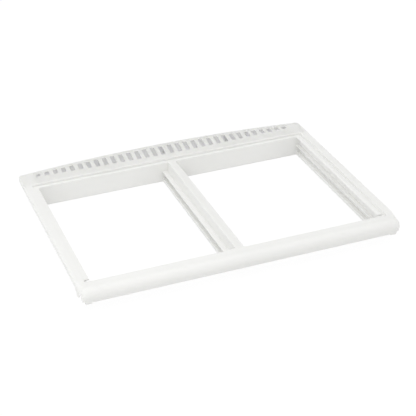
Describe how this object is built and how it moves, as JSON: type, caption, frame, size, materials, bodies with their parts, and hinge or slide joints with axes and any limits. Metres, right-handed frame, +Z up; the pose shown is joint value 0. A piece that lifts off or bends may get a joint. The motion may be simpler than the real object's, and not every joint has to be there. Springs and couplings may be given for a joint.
{
  "type": "crisper drawer cover",
  "caption": "Moulded refrigerator crisper cover: a frame with a recessed bed for a glass pane, drawer runners under its sides and divider, and a crowned, vented back rail.",
  "frame": {"origin": "middle of the footprint, on the surface that the cover rests on", "axes": "+X across the cover, +Y from the rounded front rail to the vented back rail, +Z up"},
  "size_m": [0.638, 0.487, 0.06],
  "materials": {
    "white_plastic": "satin white moulded plastic"
  },
  "bodies": {
    "root": {"cover_frame": "white_plastic"}
  },
  "joints": []
}
